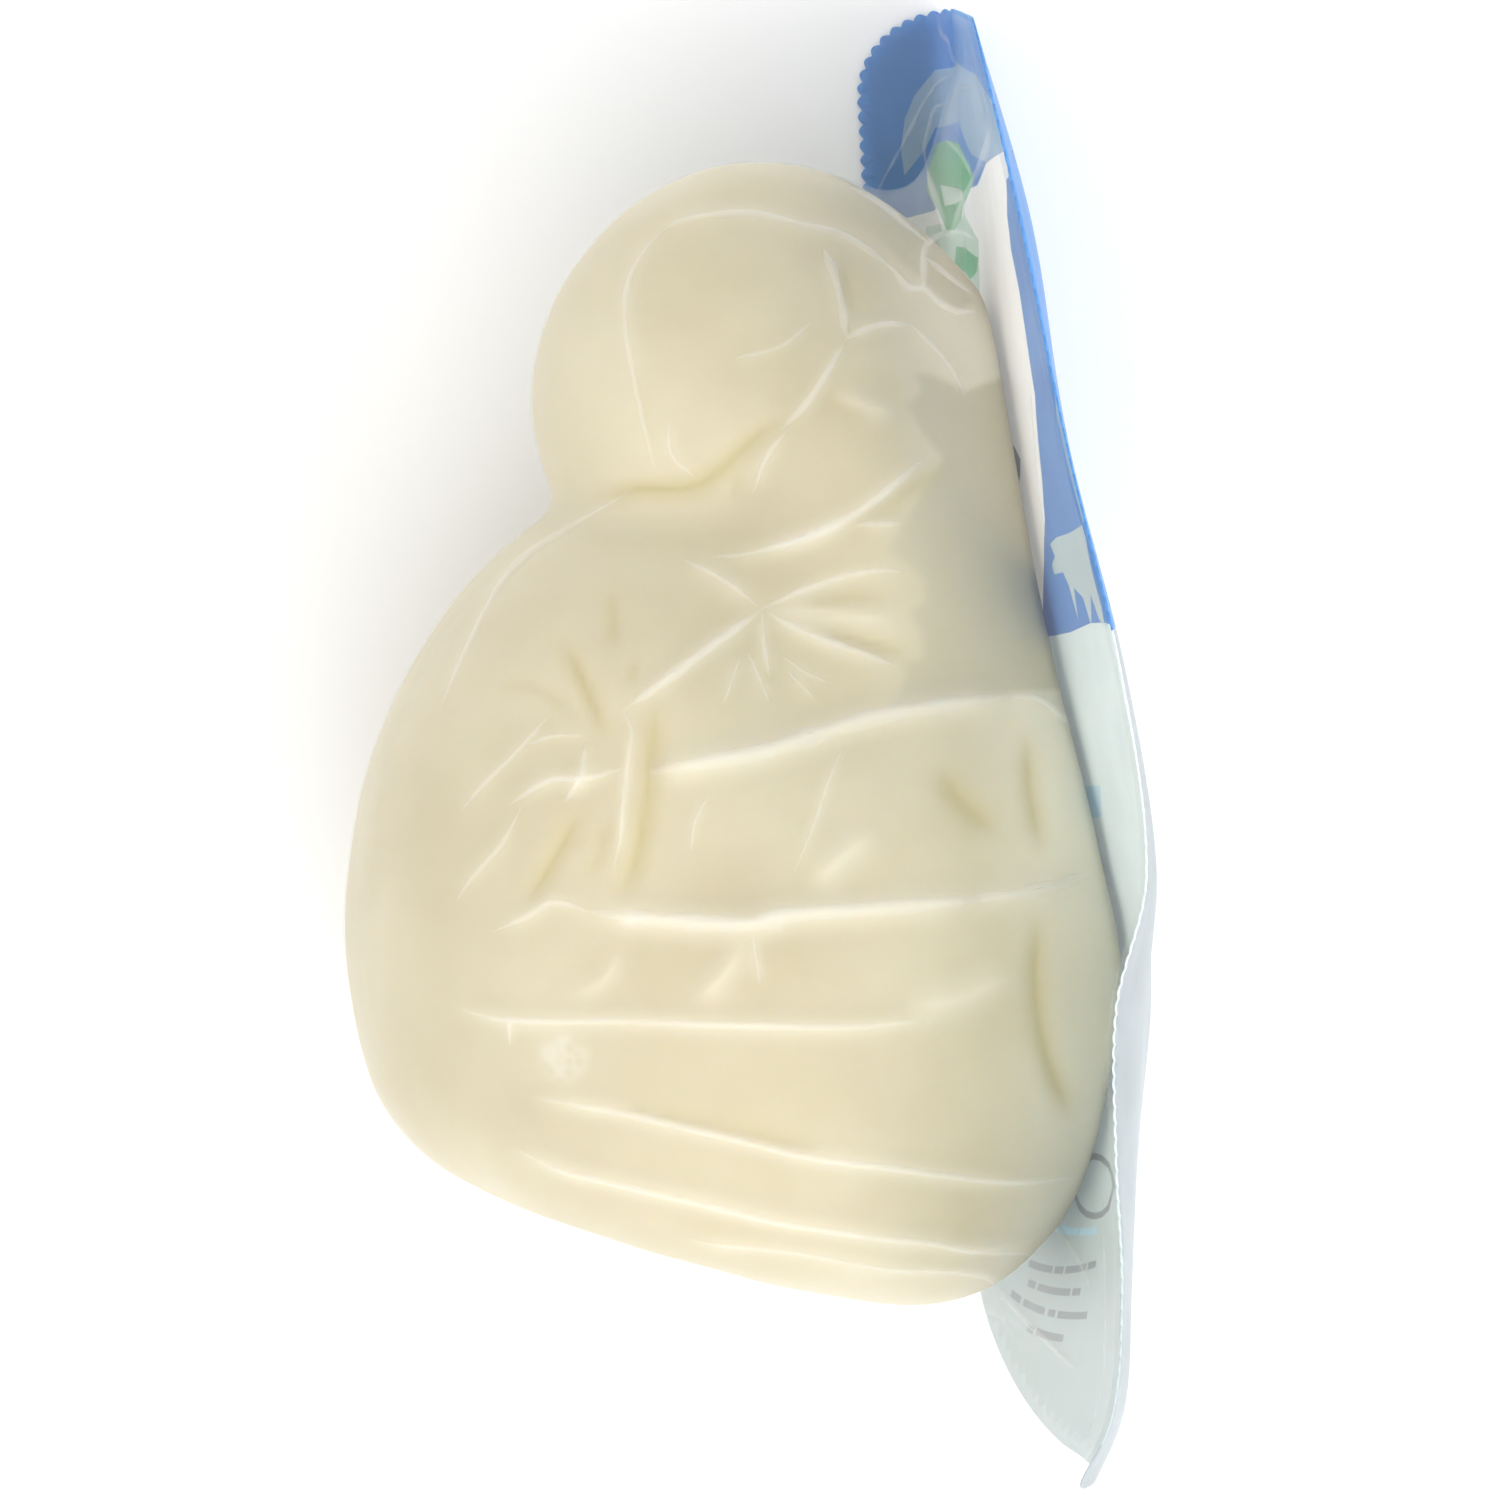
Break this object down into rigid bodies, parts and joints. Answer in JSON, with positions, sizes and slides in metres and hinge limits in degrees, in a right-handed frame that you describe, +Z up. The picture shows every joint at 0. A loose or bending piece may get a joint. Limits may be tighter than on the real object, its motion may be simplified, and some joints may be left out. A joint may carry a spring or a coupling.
{
  "type": "vacuum-packed scamorza cheese",
  "caption": "Pear-shaped scamorza cheese with a creased neck, sealed in tight clear film on a flat printed backing film with flanges all round.",
  "frame": {"origin": "on the floor, under the middle of the pack's bounding box; the pack lies on its flank", "axes": "+Z up, out of the flank that the picture shows; +Y from the cheese's flat base to its head; +X from the cheese to the printed film"},
  "size_m": [0.0746, 0.1332, 0.0881],
  "materials": {
    "wrapped_cheese": "ivory cheese under glossy clear film, pleated and drawn tight",
    "printed_film": "soft satin film, printed in plain blue, white and pale blue fields"
  },
  "bodies": {
    "root": {"film_wrapped_cheese": "wrapped_cheese", "printed_film": "printed_film"}
  },
  "joints": []
}
